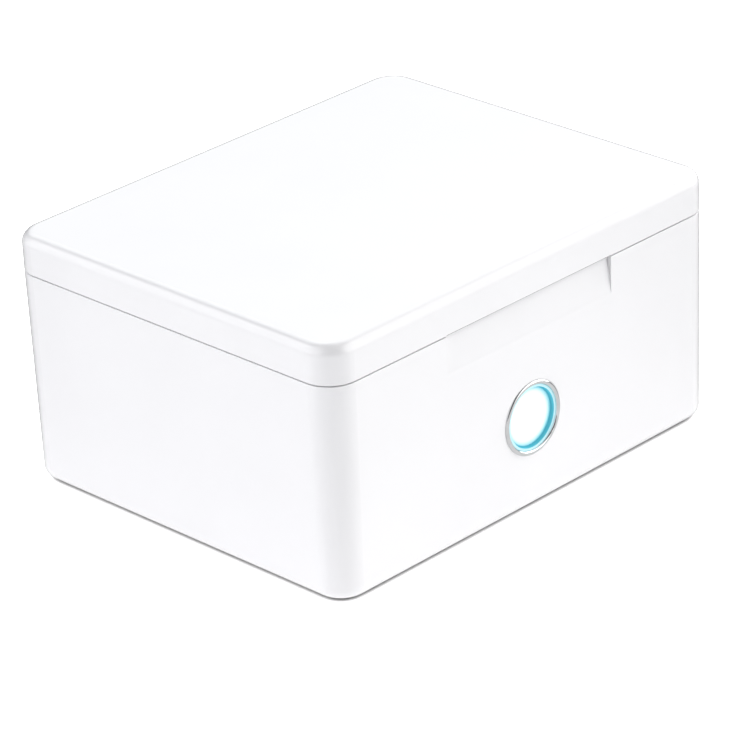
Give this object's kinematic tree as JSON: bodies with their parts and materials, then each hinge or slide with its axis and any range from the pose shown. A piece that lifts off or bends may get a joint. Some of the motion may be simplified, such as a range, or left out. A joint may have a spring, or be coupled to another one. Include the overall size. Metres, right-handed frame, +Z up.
{
  "type": "hearing aid dryer",
  "caption": "Desktop box that dries hearing aids: a hinged lid over a perforated chamber with lamp, fan and heater, and a lit push button in front.",
  "frame": {"origin": "under the middle of the case, on the surface it stands on", "axes": "+X to the right seen from the front, -Y out of the front with the button, +Z up"},
  "size_m": [0.125, 0.1033, 0.0623],
  "materials": {
    "aluminium": "polished sheet",
    "bearing_brass": "sintered",
    "bezel_chrome": "polished",
    "black_plastic": "satin",
    "board_green": "satin solder mask",
    "cap_white": "translucent gloss",
    "capacitor_sleeve": "gloss",
    "case_white": "gloss",
    "coil_copper": "enamelled wire",
    "connector_ivory": "satin",
    "contact_tin": "tinned",
    "core_steel": "laminated",
    "foot_rubber": "matte",
    "heater_ceramic": "matte",
    "inner_white": "satin",
    "lamp_glass": "clear",
    "led_clear": "clear",
    "light_cyan": "lit",
    "magnet_dark": "matte",
    "magnet_nickel": "nickel plated",
    "pin_steel": "ground",
    "screw_steel": "zinc plated",
    "seal_silicone": "satin",
    "wire_insulation": "satin"
  },
  "bodies": {
    "base": {"air_duct": "black_plastic", "base_magnets": "magnet_nickel", "base_shell": "case_white", "bezel_nut": "black_plastic", "board_connectors": "connector_ivory", "board_screws": "screw_steel", "bottom_cover": "inner_white", "button_bezel": "bezel_chrome", "button_board": "board_green", "button_connector": "connector_ivory", "button_lead": "wire_insulation", "buzzer": "black_plastic", "capacitors": "capacitor_sleeve", "case_screws": "screw_steel", "controller_chip": "black_plastic", "drying_chamber": "inner_white", "fan_bearing": "bearing_brass", "fan_frame": "black_plastic", "fan_lead": "wire_insulation", "fan_screws": "screw_steel", "fan_stator": "core_steel", "hall_sensor": "black_plastic", "heater_bars": "heater_ceramic", "heater_core": "aluminium", "heater_leads": "wire_insulation", "hinge_pins": "pin_steel", "inner_deck": "inner_white", "inverter_board": "board_green", "inverter_connectors": "connector_ivory", "inverter_lead": "wire_insulation", "inverter_transformer": "black_plastic", "jack_pin": "contact_tin", "lamp_caps": "aluminium", "lamp_holders": "inner_white", "lamp_housing": "inner_white", "lamp_leads": "wire_insulation", "lamp_reflector": "aluminium", "light_ring": "light_cyan", "main_board": "board_green", "power_jack": "black_plastic", "ring_leds": "led_clear", "rubber_feet": "foot_rubber", "sensor_lead": "wire_insulation", "stator_coils": "coil_copper", "tact_switch": "black_plastic", "thermal_fuse": "heater_ceramic", "uv_lamp": "lamp_glass", "vent_floor": "inner_white"},
    "lid": {"lid_shell": "case_white", "lid_liner": "inner_white", "lid_seal": "seal_silicone", "lid_reflector": "aluminium", "lid_magnets": "magnet_nickel", "sensor_magnet": "magnet_nickel", "lid_screws": "screw_steel"},
    "power_button": {"power_button": "cap_white", "switch_plunger": "black_plastic"},
    "fan_rotor": {"fan_impeller": "black_plastic", "rotor_magnet": "magnet_dark", "fan_shaft": "pin_steel"}
  },
  "joints": [
    {"name": "lid_hinge", "type": "hinge", "parent": "base", "child": "lid", "pos_m": [0, 0.04995, 0.053], "axis": [-1, 0, 0], "range_deg": [0, 100]},
    {"name": "button_press", "type": "slide", "parent": "base", "child": "power_button", "axis": [0, 1, 0], "range_m": [0, 0.0006], "stiffness_N_per_m": 1500},
    {"name": "fan_spin", "type": "hinge", "parent": "base", "child": "fan_rotor", "pos_m": [0, 0.004, 0.011], "axis": [0, 0, 1], "continuous": true}
  ]
}
